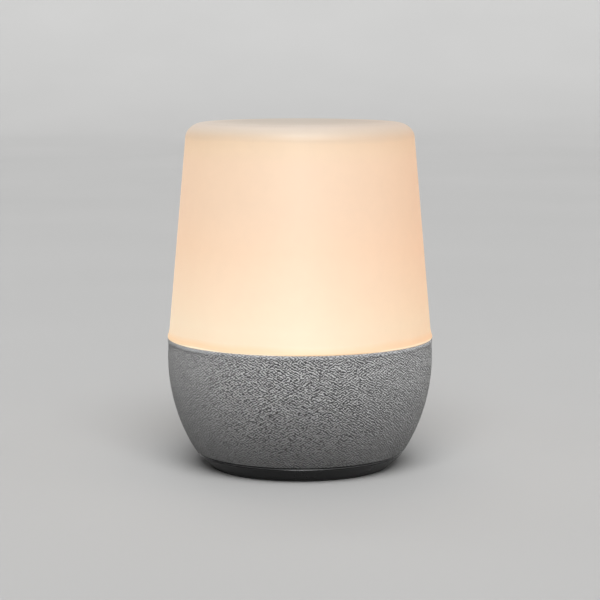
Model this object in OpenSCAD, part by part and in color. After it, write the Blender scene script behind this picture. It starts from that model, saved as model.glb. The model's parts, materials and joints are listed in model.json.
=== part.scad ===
// Table-top smart speaker with a glowing shade over a wrapped, bowl-shaped speaker base.
// Millimetres. +Z is up, the front faces -Y, the origin is the centre of the foot's underside.

/* [Overall] */
// Diameter across the lip of the shade, the widest part
lip_d = 120; // [118:0.5:122]
// Height of the whole object
total_h = 156.6; // [140:0.2:170]
// Height of the seam between base and shade
seam_z = 58.65; // [58.65:0.05:59.2]

/* [Shade] */
// Wall of the shade
shade_wall = 2.4; // [2:0.1:2.6]
// Taper of the shade's side, in degrees from vertical
shade_taper = 5.1; // [4:0.1:6]
// Radius of the shade's top corner
corner_r = 8; // [6:0.5:10]
// Rise of the shade's crowned top
crown = 0.5; // [0:0.1:1]
// How far the shade's lip flares out
lip_flare = 0.5; // [0.2:0.1:0.8]
// Height of the flared lip
lip_h = 2.2; // [1.5:0.1:3]

/* [Base] */
// Largest radius of the bowl-shaped base
bowl_r = 59.95; // [59.5:0.05:60]
// Height at which the bowl is widest
bowl_z = 50; // [49:0.5:51]
// Vertical half-axis of the bowl's ellipse
bowl_h = 70.7; // [70:0.1:72]
// Lower edge of the bowl
bowl_bottom = 7.9; // [7.6:0.1:8.2]
// Thickness of the leather-look wrap
wrap_t = 1.2; // [0.8:0.1:1.2]
// Wall of the moulded shell under the wrap
shell_t = 2.3; // [2:0.1:2.4]

/* [Foot] */
// Radius of the foot plate at its underside
foot_r = 41.4; // [41.2:0.1:41.8]
// Radius of the foot plate's rim
rim_r = 46.9; // [46:0.1:47]
// Height of the rim's top, under the sound slot
rim_z = 6.9; // [6.6:0.1:7]
// Thickness of the rubber pad
pad_t = 1.6; // [1.4:0.1:1.8]

/* [Speaker driver] */
// Radius of the driver's mounting flange
driver_r = 28; // [27.5:0.1:28.4]
// Radius of the paper cone
cone_r = 19; // [18.5:0.1:19.2]
// Radius of the voice coil's former, inside
former_r = 6.35; // [6.3:0.05:6.4]
// Radius of the ring magnet
magnet_r = 15; // [13:0.5:16]

/* [Rear panel] */
// Width of the rear panel
panel_w = 44; // [43:0.5:45]
// Height of the rear panel
panel_h = 27; // [26.5:0.5:27.5]
// Corner radius of the rear panel
panel_corner = 8; // [6:0.5:9]
// Height of the panel's centre
panel_z = 31; // [31:0.1:31.2]
// Radius of the buttons
button_r = 3.8; // [3.4:0.1:3.8]
// Distance between the buttons
button_pitch = 12; // [11.8:0.1:12]
// Radius of the audio socket's bore
aux_r = 1.8; // [1.76:0.01:1.84]

/* [Light] */
// Radius of the LED board
led_board_r = 36; // [35:0.5:37]
// Number of LEDs on the outer ring
outer_leds = 12; // [8:1:14]
// Number of LEDs on the inner ring
inner_leds = 6; // [4:1:8]
// Radius of the touch plate under the shade's top
touch_r = 38; // [30:1:40]

/* [Battery] */
// Radius of a battery cell
cell_r = 9.2; // [9:0.05:9.25]
// Length of a battery cell
cell_l = 65; // [64:0.5:66]

/* [Hidden] */
$fn = 96;

glue = 0.05;             // a glued or pressed seat's gap
slip = 0.3;              // gap round a moving button or slider
lip_r = lip_d / 2;

// Shell and ledges
shell_out = wrap_t + glue;            // inward from the bowl's face
shell_in = shell_out + shell_t;
shell_top = seam_z - 1.35;
low_ledge = [18.5, 21];               // ring that carries baffle and main board
low_ledge_r = 36;
top_ledge = [52, 54.7];               // ring that carries the deck
top_ledge_r = 50.2;
deck_bottom = 55.5;
deck_top = 58;
deck_screw_r = 52.8;
shade_boss_r = 52.3;

// Foot, baffle and plenum between them
plate_z = [0.8, 3.7];
baffle_z = [16, 18.5];
baffle_r = 43.6;
baffle_hole_r = 23;
post_r = 34;                          // circle of the foot plate's posts
post_top = 8;
baffle_screw_r = 40;

// Driver, which faces down, from its flange up
flange_z = [19, 20.2];
basket_top = 27.2;
spider_z = 26.1;                      // underside of the basket's landing for the spider
top_plate_z = [27.2, 29.2];
magnet_z = [29.2, 33.2];
yoke_top = 35.2;
gap_r = 7.2;
pole_r = 6;
coil_r = 6.85;
driver_screw_r = 25.9;

// Main board, with the sockets along its rear edge
board_z = [21, 22.6];
board_r = [28.5, 48.5];
board_screw_angles = [20, 160];
plug_z = board_z[1] + 4.65;            // where the leads enter the board's connectors
port_z = board_z[1] + 1.63;
aux_x = -13;
mute_x = 11.8;
mute_travel = 2.4;
button_z = panel_z + 6.5;
button_board_y = [43.6, 44.8];
button_back = 48.9;
panel_proud = 0.3;
panel_skin = 3.7;
panel_flange = [shell_in + 0.1, shell_in + 1.45];
mic_x = 17;

// Light engine on the deck
spreader_t = 1.5;
led_board_z = [deck_top + spreader_t, deck_top + spreader_t + 1.6];
led_size = [5, 5, 1.6];
outer_led_r = 28;
inner_led_r = 15;
lead_hole = [0, 26];
plate_under = total_h - crown - shade_wall;

// Battery under the deck
cell_y = 9.6;
cell_z = 45.4;
tray = [69.6, 41.8];
tray_z = [38, deck_bottom];
lead_y = 8.4;                         // where the leads leave the battery's end

/* Profiles and helpers */

function steps(a, b, n) = [for (i = [0:n]) a + (b - a) * i / n];
function bowl(z) = bowl_r * sqrt(1 - pow((z - bowl_z) / bowl_h, 2));
function side_r(z) = lip_r - lip_flare - tan(shade_taper) * (z - seam_z);
function unit(v) = v / norm(v);
function at(p, i) = p[max(0, min(len(p) - 1, i))];

// A smooth curve through the points p, with n steps between two points
function curve(p, n) = concat(
    [for (i = [0:len(p) - 2], j = [0:n - 1])
        let (t = j / n, a = at(p, i - 1), b = p[i], c = p[i + 1], d = at(p, i + 2))
        b + t * ((c - a) / 2 + t * ((2 * a - 5 * b + 4 * c - d) / 2
            + t * (3 * b - a - 3 * c + d) / 2))],
    [p[len(p) - 1]]);

// Copies the children round the axis
module around(n, r, start = 0) {
    for (i = [0:n - 1]) rotate([0, 0, start + 360 * i / n]) translate([r, 0, 0]) children();
}

module ring(r_in, r_out, z0, z1) {
    translate([0, 0, z0]) difference() {
        cylinder(r = r_out, h = z1 - z0);
        translate([0, 0, -1]) cylinder(r = r_in, h = z1 - z0 + 2);
    }
}

// A layer of the bowl between two depths under its face
module bowl_layer(z0, z1, outer, inner, n = 18) {
    rotate_extrude() polygon(concat(
        [for (z = steps(z0, z1, n)) [bowl(z) - outer, z]],
        [for (z = steps(z1, z0, n)) [bowl(z) - inner, z]]));
}

// A filled bowl, its face moved outwards by out
module bowl_solid(z0, z1, out) {
    rotate_extrude() polygon(concat(
        [for (z = steps(z0, z1, 7)) [bowl(z) + out, z]], [[0, z1], [0, z0]]));
}

// A rectangle with round corners in X and Z, running from y0 to y1
module slab(w, h, r, y0, y1) {
    translate([0, y1, 0]) rotate([90, 0, 0]) linear_extrude(y1 - y0) {
        square([w - 2 * r, h], center = true);
        square([w, h - 2 * r], center = true);
        for (x = [-1, 1], y = [-1, 1]) translate([x * (w / 2 - r), y * (h / 2 - r)]) circle(r);
    }
}

// A slot with half-round ends in X, running from y0 to y1
module pill(w, h, y0, y1) {
    translate([0, y1, 0]) rotate([90, 0, 0]) linear_extrude(y1 - y0) {
        square([w - h, h], center = true);
        for (x = [-1, 1]) translate([x * (w - h) / 2, 0]) circle(h / 2);
    }
}

module rod_y(r, y0, y1) {
    translate([0, y0, 0]) rotate([-90, 0, 0]) cylinder(r = r, h = y1 - y0);
}

module block(size, x, y, z) {
    translate([x - size[0] / 2, y - size[1] / 2, z]) cube(size);
}

// A screw with its head on z = 0 and its shank going up
module screw(head_r, head_h, shank_r, length) {
    difference() {
        union() {
            translate([0, 0, -head_h]) cylinder(r = head_r, h = head_h);
            cylinder(r = shank_r, h = length);
        }
        translate([0, 0, -head_h - 1]) cylinder(r = head_r * 0.45, h = head_h * 0.6 + 1, $fn = 6);
    }
}

// A lead swept along points; ref is any direction the lead never runs in
module lead(points, r, n = 5, sides = 8, ref = [1, 0, 0]) {
    path = curve(points, n);
    m = len(path);
    rings = [for (i = [0:m - 1])
        let (t = unit(at(path, i + 1) - at(path, i - 1)), u = unit(cross(t, ref)), v = cross(t, u))
        for (k = [0:sides - 1])
            path[i] + r * (cos(360 * k / sides) * u + sin(360 * k / sides) * v)];
    walls = [for (i = [0:m - 2], k = [0:sides - 1])
        let (a = i * sides + k, b = i * sides + (k + 1) % sides)
        each [[a, a + sides, b + sides], [a, b + sides, b]]];
    polyhedron(rings, concat(walls,
        [[for (k = [0:sides - 1]) k]],
        [[for (k = [sides - 1:-1:0]) (m - 1) * sides + k]]));
}

/* Shade and light */

module shade() {
    zc = total_h - crown - corner_r;
    rc = side_r(zc) - corner_r / cos(shade_taper);
    inner_r = corner_r - shade_wall;
    color([1, 0.93, 0.82]) difference() {
        union() {
            rotate_extrude() polygon(concat(
                [[lip_r - lip_flare - shade_wall, seam_z], [lip_r, seam_z]],
                [[side_r(seam_z + lip_h), seam_z + lip_h]],
                [for (a = steps(shade_taper, 90, 8)) [rc + corner_r * cos(a), zc + corner_r * sin(a)]],
                [for (r = steps(rc * 0.8, 0, 4)) [r, total_h - crown * pow(r / rc, 2)]],
                [[0, zc + inner_r]],
                [for (a = steps(90, shade_taper, 6)) [rc + inner_r * cos(a), zc + inner_r * sin(a)]]));
            around(4, shade_boss_r, 45) translate([0, 0, seam_z]) {
                cylinder(r = 3.1, h = 13);
                translate([0, -1.2, 0]) cube([4, 2.4, 13]);
            }
        }
        around(4, shade_boss_r, 45) translate([0, 0, seam_z - 1]) cylinder(r = 1.3, h = 12);
    }
}

module shade_screws() {
    color("silver") around(4, shade_boss_r, 45)
        translate([0, 0, deck_bottom]) screw(2.6, 1.8, 1.25, 12);
}

module touch_plate() {
    color("peru") translate([0, 0, plate_under - glue - 1]) cylinder(r = touch_r, h = 1);
}

module touch_post() {
    color("white") {
        ring(2.6, 4, led_board_z[1], plate_under - glue - 1);
        ring(2.6, 7, led_board_z[1] + 0.7, led_board_z[1] + 1.5);
    }
}

module touch_wire() {
    color("gold") translate([0, 0, led_board_z[1]])
        cylinder(r = 0.6, h = plate_under - glue - 1 - led_board_z[1]);
}

module light_reflector() {
    z = led_board_z[1];
    color("white") difference() {
        rotate_extrude() polygon([
            [4.2, z], [led_board_r + 0.6, z], [47.5, deck_top + 0.3], [47.5, deck_top],
            [48.8, deck_top], [48.8, deck_top + 0.9], [led_board_r + 1, z + 0.6], [4.2, z + 0.6]]);
        translate([0, 0, z - 1]) {
            around(outer_leds, outer_led_r) block([led_size[0] + 0.4, led_size[1] + 0.4, 3], 0, 0, 0);
            around(inner_leds, inner_led_r) block([led_size[0] + 0.4, led_size[1] + 0.4, 3], 0, 0, 0);
            around(3, 33, 15) cylinder(r = 2.6, h = 3);
        }
    }
}

module led_board() {
    color("ivory") difference() {
        translate([0, 0, led_board_z[0]]) cylinder(r = led_board_r, h = 1.6);
        around(3, 33, 15) translate([0, 0, led_board_z[0] - 1]) cylinder(r = 1.4, h = 4);
    }
}

module leds() {
    color("khaki") translate([0, 0, led_board_z[1]]) {
        around(outer_leds, outer_led_r) block(led_size, 0, 0, 0);
        around(inner_leds, inner_led_r) block(led_size, 0, 0, 0);
    }
}

module led_board_screws() {
    color("silver") around(3, 33, 15) translate([0, 0, led_board_z[1]])
        rotate([180, 0, 0]) screw(2.2, 1.3, 1.2, 4.8);
}

module heat_spreader() {
    color("lightgray") difference() {
        translate([0, 0, deck_top]) cylinder(r = led_board_r + 0.5, h = spreader_t);
        translate([0, 0, deck_top - 1]) {
            around(3, 33, 15) cylinder(r = 1.4, h = 4);
            translate(lead_hole) cylinder(r = 4, h = 4);
        }
    }
}

module deck() {
    color("whitesmoke") difference() {
        rotate_extrude() polygon([
            [0, deck_bottom], [55.6, deck_bottom], [55.6, shell_top], [58.1, shell_top],
            [58.1, seam_z], [53.6, seam_z], [53.6, deck_top], [0, deck_top]]);
        translate([0, 0, deck_bottom - 1]) {
            around(4, shade_boss_r, 45) cylinder(r = 1.6, h = 6);
            around(4, deck_screw_r) cylinder(r = 1.25, h = 3.2);
            for (x = [-1, 1], y = [-1, 1]) translate([x * 38, y * 14, 0]) cylinder(r = 1.25, h = 3.2);
            translate(lead_hole) cylinder(r = 4, h = 6);
        }
        around(4, shade_boss_r, 45) translate([0, 0, deck_top]) cylinder(r = 3.3, h = 2);
        around(3, 33, 15) translate([0, 0, deck_bottom + 0.6]) cylinder(r = 1.25, h = 4);
    }
}

module deck_gasket() {
    color("dimgray") difference() {
        ring(top_ledge_r + 0.4, 55.4, top_ledge[1], deck_bottom);
        translate([0, 0, top_ledge[1] - 1]) {
            around(4, deck_screw_r) cylinder(r = 1.8, h = 3);
            around(4, shade_boss_r, 45) cylinder(r = 3.4, h = 3);
        }
    }
}

module deck_screws() {
    color("silver") around(4, deck_screw_r) translate([0, 0, top_ledge[0]]) screw(2.4, 1.6, 1.2, 5.4);
}

/* Base */

module window(w, h, depth) {
    intersection() {
        translate([0, 0, panel_z]) slab(w, h, panel_corner, 30, 70);
        bowl_layer(panel_z - h / 2 - 1, panel_z + h / 2 + 1, -2, depth, 11);
    }
}

module base_wrap() {
    color([0.56, 0.56, 0.56]) difference() {
        bowl_layer(bowl_bottom, seam_z - 0.25, 0, wrap_t, 24);
        window(panel_w + 0.2, panel_h + 0.2, shell_in + 0.2);
    }
}

module base_shell() {
    wall = shell_in - 0.8;
    color("gainsboro") difference() {
        union() {
            bowl_layer(bowl_bottom, shell_top, shell_out, shell_in);
            difference() {
                rotate_extrude() polygon([
                    [low_ledge_r, low_ledge[0]], [bowl(low_ledge[0]) - wall, low_ledge[0]],
                    [bowl(low_ledge[1]) - wall, low_ledge[1]], [low_ledge_r, low_ledge[1]]]);
                window(panel_w + 6.6, panel_h + 5.6, shell_in + 1.8);
            }
            rotate_extrude() polygon([
                [top_ledge_r, top_ledge[0]], [bowl(top_ledge[0]) - wall, top_ledge[0]],
                [bowl(top_ledge[1]) - wall, top_ledge[1]], [top_ledge_r, top_ledge[1]]]);
        }
        window(panel_w + 0.2, panel_h + 0.2, shell_in + 0.2);
        translate([0, 0, low_ledge[0] - 1]) {
            around(4, baffle_screw_r, 45) cylinder(r = 1.25, h = 5);
            for (a = board_screw_angles) rotate([0, 0, a]) translate([44, 0, 0])
                cylinder(r = 1.25, h = 5);
        }
        translate([0, 0, top_ledge[0] - 1]) {
            around(4, deck_screw_r) cylinder(r = 1.5, h = 5);
            around(4, shade_boss_r, 45) cylinder(r = 3.4, h = 5);
        }
    }
}

module speaker_baffle() {
    color([0.2, 0.2, 0.2]) difference() {
        union() {
            ring(baffle_hole_r, baffle_r, baffle_z[0], baffle_z[1]);
            around(4, post_r) translate([0, 0, post_top])
                cylinder(r = 3.4, h = baffle_z[0] - post_top + 0.5);
            around(4, driver_screw_r, 45) translate([0, 0, 13.6]) cylinder(r = 1.4 + 1.2, h = 3);
        }
        around(4, post_r) translate([0, 0, post_top - 1]) cylinder(r = 1.3, h = 8);
        around(4, driver_screw_r, 45) translate([0, 0, 14.2]) cylinder(r = 1.05, h = 6);
        around(4, baffle_screw_r, 45) translate([0, 0, baffle_z[0] - 1]) cylinder(r = 1.5, h = 5);
        translate([0, 0, 10]) cylinder(r = baffle_hole_r - 0.5, h = 10);
    }
}

module baffle_screws() {
    color("silver") around(4, baffle_screw_r, 45)
        translate([0, 0, baffle_z[0]]) screw(2.4, 1.5, 1.2, 4.7);
}

module foot_plate() {
    color([0.08, 0.08, 0.08]) difference() {
        union() {
            rotate_extrude() polygon([
                [0, plate_z[0]], [29.9, plate_z[0]], [29.9, pad_t], [foot_r - 0.5, pad_t],
                [foot_r - 0.5, plate_z[0]], [foot_r, plate_z[0]], [rim_r, rim_z - 0.6],
                [rim_r - 0.15, rim_z - 0.2], [rim_r - 0.6, rim_z], [rim_r - 2.8, rim_z],
                [foot_r - 0.9, plate_z[1]], [0, plate_z[1]]]);
            around(4, post_r) translate([0, 0, plate_z[1] - 0.5])
                cylinder(r = 3.4, h = post_top - plate_z[1] + 0.5);
        }
        around(4, post_r) {
            cylinder(r = 1.6, h = 10);
            cylinder(r = 2.9, h = 3.3);
        }
    }
}

module foot_pad() {
    color([0.12, 0.12, 0.12]) ring(30, foot_r - 0.6, 0, pad_t - glue);
}

module foot_screws() {
    color("silver") around(4, post_r) translate([0, 0, 3.3]) screw(2.7, 1.6, 1.25, 10);
}

module sound_deflector() {
    color([0.15, 0.15, 0.15]) rotate_extrude() polygon(concat(
        [[0, plate_z[1]], [19, plate_z[1]]],
        [for (t = steps(0, 1, 8)) [19 * pow(1 - t, 1.8), plate_z[1] + 0.6 + 8 * t]]));
}

/* Speaker driver */

module driver_frame() {
    color("slategray") difference() {
        rotate_extrude() polygon([
            [22.4, flange_z[0]], [driver_r, flange_z[0]], [driver_r, flange_z[1]], [23.6, flange_z[1]],
            [23.6, 22], [15.4, basket_top], [8.6, basket_top], [8.6, basket_top - 0.5],
            [12.4, basket_top - 0.5], [12.4, spider_z], [14, spider_z], [14, 25.4], [22.4, 21.6]]);
        around(4, driver_screw_r, 45) translate([0, 0, flange_z[0] - 1]) cylinder(r = 1.2, h = 4);
        around(6, 18.6, 30) block([6, 8, 10], 0, 0, 20.7);
    }
}

module driver_gasket() {
    color("black") difference() {
        ring(baffle_hole_r, driver_r, baffle_z[1], flange_z[0]);
        around(4, driver_screw_r, 45) translate([0, 0, baffle_z[1] - 1]) cylinder(r = 1.2, h = 3);
    }
}

module driver_screws() {
    color("silver") around(4, driver_screw_r, 45) translate([0, 0, flange_z[1]])
        rotate([180, 0, 0]) screw(1.5, 1.1, 1, 5.6);
}

module driver_terminal() {
    color("saddlebrown") difference() {
        block([9, 1.6, 4], 0, 24.6, flange_z[1]);
        for (x = [-2.5, 2.5]) translate([x, 0, flange_z[1] + 2.6]) rod_y(0.6, 20, 28);
    }
}

module driver_top_plate() {
    color("darkgray") ring(gap_r, magnet_r, top_plate_z[0], top_plate_z[1]);
}

module driver_magnet() {
    color([0.25, 0.25, 0.27]) ring(9, magnet_r + 0.6, magnet_z[0], magnet_z[1]);
}

module driver_yoke() {
    color("darkgray") {
        translate([0, 0, magnet_z[1]]) cylinder(r = magnet_r, h = yoke_top - magnet_z[1]);
        translate([0, 0, top_plate_z[0]]) cylinder(r = pole_r, h = magnet_z[1] - top_plate_z[0] + 0.5);
    }
}

// Three concentric waves and a flat landing
module driver_spider() {
    r0 = former_r + 0.25;
    r1 = 12.3;
    t = 0.3;
    mid = spider_z - glue - t;
    wave = [for (i = steps(0, 1, 18)) [r0 + (r1 - r0) * i, mid - 0.35 * sin(1080 * i)]];
    path = concat(wave, [[13.8, mid]]);
    color("goldenrod") rotate_extrude() polygon(concat(
        path, [for (i = [len(path) - 1:-1:0]) path[i] + [0, t]]));
}

// A half roll between the cone's edge and the flange
module driver_surround() {
    mid = (cone_r + 22.3) / 2;
    roll = (22.3 - cone_r) / 2;
    color([0.1, 0.1, 0.1]) rotate_extrude() polygon(concat(
        [[cone_r - 1.4, 20.15], [cone_r, 20.15]],
        [for (a = steps(180, 0, 10)) [mid + (roll - 0.3) * cos(a), 20.15 - (roll - 0.3) * sin(a)]],
        [[22.3, 20.15], [22.3, 19.8]],
        [for (a = steps(0, 180, 10)) [mid + roll * cos(a), 19.8 - roll * sin(a)]],
        [[cone_r - 1.4, 19.8]]));
}

module driver_cone() {
    color("darkslategray") rotate_extrude() polygon([
        [cone_r - 1.5, 20.2], [cone_r - 0.1, 20.2], [cone_r - 0.1, 20.6], [cone_r - 1.5, 20.75],
        [former_r + 1.4, 24], [former_r + 0.2, 24.9], [former_r + 0.2, 24.2], [former_r + 1.2, 23.4]]);
}

module driver_dust_cap() {
    cap_r = 8.6;
    rise = 3.2;
    base_z = 22.65;
    color("gray") rotate_extrude() polygon(concat(
        [for (r = steps(0, cap_r, 8)) [r, base_z - rise * (1 - pow(r / cap_r, 2))]],
        [for (r = steps(cap_r, 0, 8)) [r, base_z + 0.3 - rise * (1 - pow(r / cap_r, 2))]]));
}

module voice_coil_former() {
    color("orange") ring(former_r, former_r + 0.15, 23.3, 31);
}

module voice_coil() {
    color("chocolate") ring(former_r + 0.15, coil_r, 26.9, 29.5);
}

/* Rear panel and its controls */

module control_panel() {
    color([0.1, 0.1, 0.1]) difference() {
        union() {
            intersection() {
                translate([0, 0, panel_z]) slab(panel_w, panel_h, panel_corner, 30, 70);
                bowl_layer(panel_z - panel_h / 2 - 1, panel_z + panel_h / 2 + 1,
                    -panel_proud, panel_flange[0] + 0.2, 11);
            }
            intersection() {
                translate([0, 0, panel_z]) slab(panel_w + 6, panel_h + 5, panel_corner, 30, 70);
                bowl_layer(panel_z - panel_h / 2 - 4, panel_z + panel_h / 2 + 4,
                    panel_flange[0], panel_flange[1], 13);
            }
            for (x = [-1, 1]) translate([x * 19, 0, button_z + 5.5]) rod_y(2.2, button_board_y[1], 51.5);
        }
        for (x = [-1, 0, 1]) translate([x * button_pitch, 0, button_z]) rod_y(button_r + slip, 40, 70);
        for (x = [-1, 1]) {
            translate([x * mic_x, 0, panel_z]) rod_y(0.5, 40, 70);
            translate([x * 19, 0, button_z + 5.5]) rod_y(1, 40, 50);
        }
        translate([0, 0, panel_z]) rod_y(0.95, 40, 70);
        translate([0, 0, port_z]) pill(9.8, 4.1, 40, 70);
        translate([aux_x, 0, port_z]) rod_y(3.1, 40, 70);
        translate([mute_x + mute_travel / 2, 0, port_z])
            slab(4.4 + mute_travel + 2 * slip, 2.6 + 2 * slip, 1, 40, 70);
    }
}

// A button with the flange that holds it in, just behind the panel
module button(x) {
    flange_r = button_r + 1.1;
    panel_back = bowl(button_z - flange_r) - panel_flange[1];
    flange_y = sqrt(pow(panel_back, 2) - pow(abs(x) + flange_r, 2)) - 0.3;
    color([0.22, 0.22, 0.22]) translate([x, 0, button_z]) {
        intersection() {
            rod_y(button_r, button_back, 62);
            translate([-x, 0, -button_z]) bowl_solid(button_z - 6, button_z + 6, 0.5);
        }
        rod_y(flange_r, flange_y - 1.1, flange_y);
    }
}

module mute_slider() {
    color("orangered") {
        intersection() {
            translate([mute_x, 0, port_z]) slab(4.4, 2.6, 0.8, 45, 60);
            bowl_solid(port_z - 3, port_z + 3, 1);
        }
        translate([mute_x - 4.6, 44.6, board_z[1] + 0.3]) cube([9.2, 1.2, 2.9]);
    }
}

module button_board() {
    color("darkgreen") difference() {
        translate([-21.5, button_board_y[0], 29]) cube([43, 1.2, 17]);
        for (x = [-1, 1]) translate([x * 19, 0, button_z + 5.5]) rod_y(1, 40, 50);
    }
}

module button_switches() {
    color("silver") for (x = [-1, 0, 1]) translate([x * button_pitch, 0, button_z]) {
        translate([-3, button_board_y[1], -3]) cube([6, 2.4, 6]);
        rod_y(1.5, button_board_y[1] + 2, 48);
    }
}

module button_board_screws() {
    color("silver") for (x = [-1, 1]) translate([x * 19, button_board_y[0], button_z + 5.5])
        rotate([-90, 0, 0]) screw(1.8, 1.2, 0.9, 5);
}

module microphones() {
    color("gold") for (x = [-1, 1])
        translate([x * mic_x - 2, button_board_y[1], panel_z - 1.5]) cube([4, 1.1, 3]);
}

module mic_boots() {
    color("dimgray") for (x = [-1, 1]) translate([x * mic_x, 0, panel_z]) difference() {
        rod_y(1.5, button_board_y[1] + 1.1, 49);
        rod_y(0.6, 40, 50);
    }
}

module status_light_pipe() {
    color("white") intersection() {
        translate([0, 0, panel_z]) rod_y(0.9, 45.6, 62);
        bowl_solid(panel_z - 3, panel_z + 3, panel_proud);
    }
}

module usb_socket() {
    color("silver") translate([0, 0, port_z]) {
        difference() {
            pill(8.94, 3.24, 42, 55);
            pill(8.34, 2.64, 48.6, 56);
        }
        translate([-3.35, 48.4, -0.35]) cube([6.7, 4.6, 0.7]);
    }
}

module aux_socket() {
    color("black") translate([aux_x, 0, port_z]) difference() {
        union() {
            translate([-3, 37.5, -2.5]) cube([6, 9.3, 5]);
            rod_y(2.9, 46, 54.2);
        }
        rod_y(aux_r, 39.6, 56);
    }
}

module mute_switch() {
    color("silver") block([8.6, 4, 3.4], mute_x + mute_travel / 2, 42.2, board_z[1]);
}

/* Electronics and battery */

module main_board() {
    color("darkgreen") difference() {
        intersection() {
            ring(board_r[0], board_r[1], board_z[0], board_z[1]);
            translate([-60, 8, 0]) cube([120, 60, 60]);
        }
        translate([aux_x - 3.2, 37.3, 0]) cube([6.4, 20, 60]);
        for (a = board_screw_angles) rotate([0, 0, a]) translate([44, 0, 10])
            cylinder(r = 1.5, h = 20);
    }
}

module main_board_screws() {
    color("silver") for (a = board_screw_angles) rotate([0, 0, a])
        translate([44, 0, board_z[1]]) rotate([180, 0, 0]) screw(2.3, 1.4, 1.2, 3.9);
}

module board_chips() {
    color([0.15, 0.15, 0.17]) {
        rotate([0, 0, 142]) block([13, 15, 2.2], 38.5, 0, board_z[1]);
        rotate([0, 0, 44]) block([7, 7, 1], 38, 0, board_z[1]);
        rotate([0, 0, 58]) block([5, 5, 0.9], 33.5, 0, board_z[1]);
        rotate([0, 0, 120]) block([6, 4, 1.2], 34, 0, board_z[1]);
    }
}

module board_capacitors() {
    color("navy") for (p = [[34, 30], [41.5, 33]]) rotate([0, 0, p[1]])
        translate([p[0], 0, board_z[1]]) cylinder(r = 2.6, h = 6);
}

module board_connectors() {
    color("ivory") for (x = [-10, 0, 10]) block([6.5, 4, 4.6], x, 31.5 + (x == 0 ? 0.8 : 0), board_z[1]);
}

module battery_cells() {
    color("mediumseagreen") for (y = [-1, 1])
        translate([-cell_l / 2, y * cell_y, cell_z]) rotate([0, 90, 0]) cylinder(r = cell_r, h = cell_l);
}

module battery_tabs() {
    color("silver") {
        block([0.3, 24, 6], cell_l / 2 + 0.15, 0, cell_z - 3);
        for (y = [-1, 1]) block([0.3, 8, 6], -cell_l / 2 - 0.15, y * cell_y, cell_z - 3);
    }
}

module battery_tray() {
    r = cell_r + 0.1;
    l = cell_l + 0.8;
    color([0.18, 0.18, 0.18]) difference() {
        union() {
            block([tray[0], tray[1], tray_z[1] - tray_z[0]], 0, 0, tray_z[0]);
            for (x = [-1, 1], y = [-1, 1]) block([10, 7, 2.5], x * 36.5, y * 14, tray_z[1] - 2.5);
        }
        for (y = [-1, 1]) translate([-l / 2, y * cell_y, cell_z]) {
            rotate([0, 90, 0]) cylinder(r = r, h = l);
            translate([0, -r, 0]) cube([l, 2 * r, 20]);
        }
        translate([-l / 2, -2, cell_z - 4]) cube([l, 4, 20]);
        for (x = [-1, 1], y = [-1, 1]) translate([x * 38, y * 14, 40]) cylinder(r = 1.4, h = 20);
        for (y = [-1, 1]) translate([-40, y * lead_y - 1.6, cell_z - 1]) cube([8, 3.2, 20]);
    }
}

module tray_screws() {
    color("silver") for (x = [-1, 1], y = [-1, 1])
        translate([x * 38, y * 14, tray_z[1] - 2.5]) screw(2.4, 1.5, 1.2, 4.4);
}

module speaker_leads() {
    colors = ["red", "black"];
    for (i = [0, 1]) color(colors[i]) lead([
        [5 * i - 2.5, 25.5, 22.8], [5 * i - 2.5, 27, 23.6], [7.4 + 1.8 * i, 28, 30.4 - 2 * i],
        [9.2 + 1.8 * i, 31, 31.2 - 1.2 * i], [9.2 + 1.8 * i, 31.5, 28.4],
        [9.2 + 1.8 * i, 31.5, plug_z]], 0.6, 4, 8, [1, -1, -1]);
}

module battery_leads() {
    color("red") lead([
        [-32.9, lead_y, 46.5], [-34, lead_y, 46.5], [-37, 9.4, 46.3], [-38.4, 15, 42.6],
        [-35.5, 22, 37.5], [-20, 32.4, 33.2], [-9.4, 31.6, 32], [-9, 31.5, 28.6],
        [-9, 31.5, plug_z]], 0.7, 3, 8, [0.4, 1, 1]);
    color("black") lead([
        [-32.9, -lead_y, 46.5], [-34, -lead_y, 46.5], [-37, -7.6, 46.4], [-38.8, 3, 44],
        [-37.5, 18, 36.5], [-20, 30, 31.3], [-11.6, 31.4, 30.4], [-11, 31.5, 28.6],
        [-11, 31.5, plug_z]], 0.7, 3, 8, [0.4, 1, 1]);
}

module led_leads() {
    colors = ["red", "black", "white"];
    for (i = [0:2]) color(colors[i]) lead([
        [1.8 * i - 1.8, 26, led_board_z[0] - glue], [1.8 * i - 1.8, 26, 57],
        [1.8 * i - 1.8, 26.2, 52], [2 * i - 2, 28, 43], [2 * i - 2, 32, 34],
        [1.7 * i - 1.7, 32.3, 28.5], [1.7 * i - 1.7, 32.3, plug_z]], 0.55, 3);
}

shade();
shade_screws();
touch_plate();
touch_post();
touch_wire();
light_reflector();
led_board();
leds();
led_board_screws();
heat_spreader();
deck();
deck_gasket();
deck_screws();
base_wrap();
base_shell();
speaker_baffle();
baffle_screws();
foot_plate();
foot_pad();
foot_screws();
sound_deflector();
driver_frame();
driver_gasket();
driver_screws();
driver_terminal();
driver_top_plate();
driver_magnet();
driver_yoke();
driver_spider();
driver_surround();
driver_cone();
driver_dust_cap();
voice_coil_former();
voice_coil();
control_panel();
button(0);  // power_button
button(button_pitch);  // volume_down_button
button(-button_pitch);  // volume_up_button
mute_slider();
button_board();
button_switches();
button_board_screws();
microphones();
mic_boots();
status_light_pipe();
usb_socket();
aux_socket();
mute_switch();
main_board();
main_board_screws();
board_chips();
board_capacitors();
board_connectors();
battery_cells();
battery_tabs();
battery_tray();
tray_screws();
speaker_leads();
battery_leads();
led_leads();
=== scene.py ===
"""Looks of the smart speaker: a glowing opal shade on a leather-wrapped base with a black foot.

The CAD frame gives every size and place. Helpers work in millimetres and put points down in metres.
"""
import json
import math

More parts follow.
